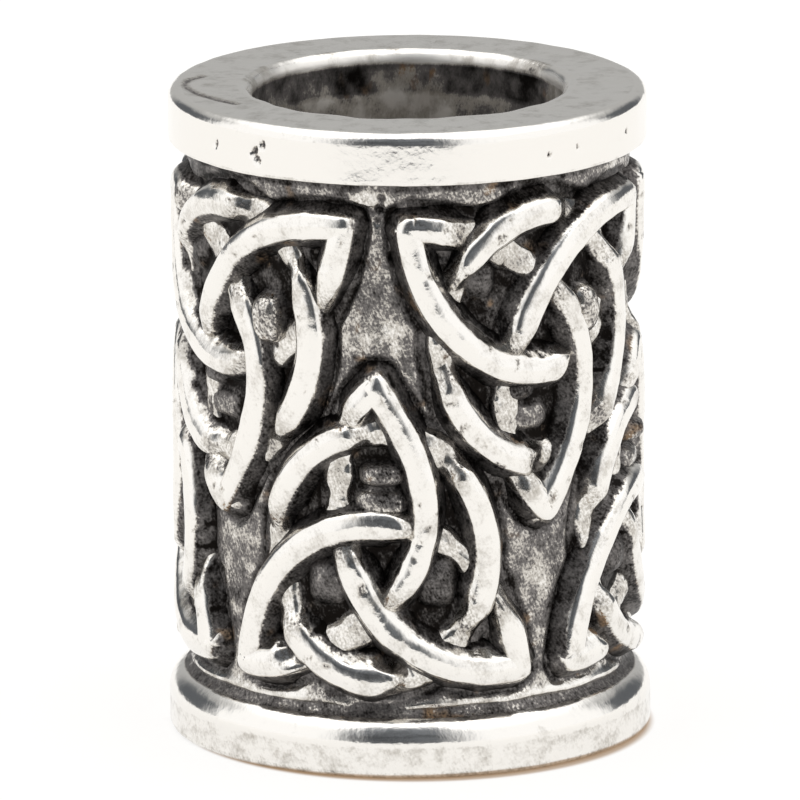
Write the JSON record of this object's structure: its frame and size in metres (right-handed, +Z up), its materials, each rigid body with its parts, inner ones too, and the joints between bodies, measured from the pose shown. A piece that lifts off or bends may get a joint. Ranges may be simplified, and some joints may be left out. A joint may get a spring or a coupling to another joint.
{
  "type": "dreadlock bead",
  "caption": "Cast metal sleeve bead with interlaced triangular knots in relief between two rims; a lock of hair passes through its bore.",
  "frame": {"origin": "centre of the bore at the flat foot of the bottom rim", "axes": "+Z up along the bore towards the top rim, -Y towards the middle of a lower knot"},
  "size_m": [0.0122, 0.0122, 0.0164],
  "materials": {
    "antiqued_silver": "cast white metal, blackened in the recesses and polished on the high places"
  },
  "bodies": {
    "root": {"bead": "antiqued_silver"}
  },
  "joints": []
}
